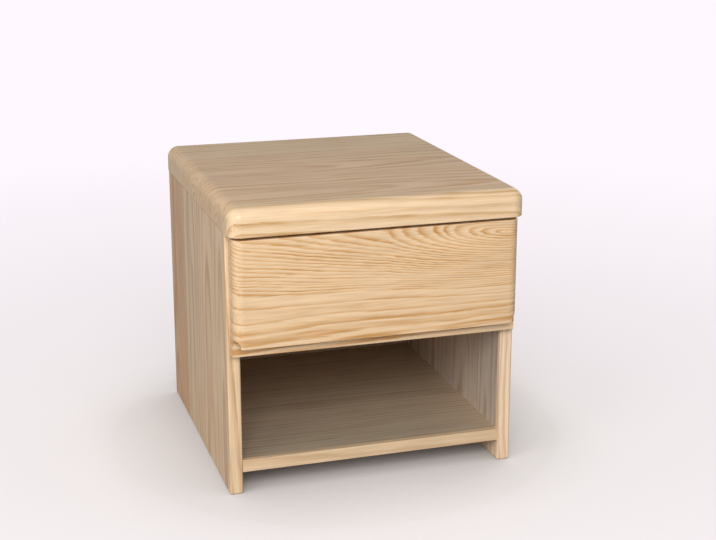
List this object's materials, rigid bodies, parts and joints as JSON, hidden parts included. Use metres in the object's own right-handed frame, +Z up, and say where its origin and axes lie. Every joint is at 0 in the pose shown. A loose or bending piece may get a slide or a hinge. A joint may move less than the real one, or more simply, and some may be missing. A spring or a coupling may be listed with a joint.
{
  "type": "bedside table",
  "caption": "Compact solid-wood bedside table with rounded top, one full-width drawer with a finger groove under its front, and an open shelf below.",
  "frame": {"origin": "middle of the outline's footprint at floor level", "axes": "+Z up, -Y towards the drawer front (the drawer opens along -Y), +X to the right seen from the front"},
  "size_m": [0.405, 0.435, 0.4],
  "materials": {
    "solid_board": "clear satin lacquer over light solid wood",
    "drawer_box_board": "clear matt lacquer over light solid wood",
    "plywood": "clear matt lacquer over light plywood",
    "dowel": "bare beech",
    "zinc_steel": "bright zinc plate",
    "cage_steel": "zinc plate",
    "ball_steel": "polished",
    "screw_steel": "zinc plate"
  },
  "bodies": {
    "carcass": {"top_panel": "solid_board", "left_side_panel": "solid_board", "right_side_panel": "solid_board", "bottom_shelf": "solid_board", "back_panel": "plywood", "top_dowels": "dowel", "shelf_dowels": "dowel", "back_panel_screws": "screw_steel", "left_cabinet_member": "zinc_steel", "right_cabinet_member": "zinc_steel", "cabinet_slide_screws": "screw_steel"},
    "drawer": {"drawer_front": "solid_board", "drawer_inner_front": "drawer_box_board", "drawer_back": "drawer_box_board", "drawer_left_side": "drawer_box_board", "drawer_right_side": "drawer_box_board", "drawer_bottom": "plywood", "drawer_box_dowels": "dowel", "drawer_front_screws": "screw_steel", "left_drawer_member": "zinc_steel", "right_drawer_member": "zinc_steel", "drawer_slide_screws": "screw_steel"},
    "left_middle_slide": {"left_middle_member": "zinc_steel"},
    "left_outer_cage": {"left_outer_ball_cage": "cage_steel", "left_outer_balls": "ball_steel"},
    "left_inner_cage": {"left_inner_ball_cage": "cage_steel", "left_inner_balls": "ball_steel"},
    "right_middle_slide": {"right_middle_member": "zinc_steel"},
    "right_outer_cage": {"right_outer_ball_cage": "cage_steel", "right_outer_balls": "ball_steel"},
    "right_inner_cage": {"right_inner_ball_cage": "cage_steel", "right_inner_balls": "ball_steel"}
  },
  "joints": [
    {"name": "drawer_slide", "type": "slide", "parent": "carcass", "child": "drawer", "axis": [0, -1, 0], "range_m": [0, 0.35]},
    {"name": "left_middle_slide_travel", "type": "slide", "parent": "carcass", "child": "left_middle_slide", "axis": [0, -1, 0], "range_m": [0, 0.1755]},
    {"name": "left_outer_cage_travel", "type": "slide", "parent": "carcass", "child": "left_outer_cage", "axis": [0, -1, 0], "range_m": [0, 0.088]},
    {"name": "left_inner_cage_travel", "type": "slide", "parent": "carcass", "child": "left_inner_cage", "axis": [0, -1, 0], "range_m": [0, 0.263]},
    {"name": "right_middle_slide_travel", "type": "slide", "parent": "carcass", "child": "right_middle_slide", "axis": [0, -1, 0], "range_m": [0, 0.1755]},
    {"name": "right_outer_cage_travel", "type": "slide", "parent": "carcass", "child": "right_outer_cage", "axis": [0, -1, 0], "range_m": [0, 0.088]},
    {"name": "right_inner_cage_travel", "type": "slide", "parent": "carcass", "child": "right_inner_cage", "axis": [0, -1, 0], "range_m": [0, 0.263]}
  ],
  "couplings": [
    {"joint": "left_middle_slide_travel", "follows": "drawer_slide", "ratio": 0.5},
    {"joint": "left_outer_cage_travel", "follows": "drawer_slide", "ratio": 0.25},
    {"joint": "left_inner_cage_travel", "follows": "drawer_slide", "ratio": 0.75},
    {"joint": "right_middle_slide_travel", "follows": "drawer_slide", "ratio": 0.5},
    {"joint": "right_outer_cage_travel", "follows": "drawer_slide", "ratio": 0.25},
    {"joint": "right_inner_cage_travel", "follows": "drawer_slide", "ratio": 0.75}
  ]
}
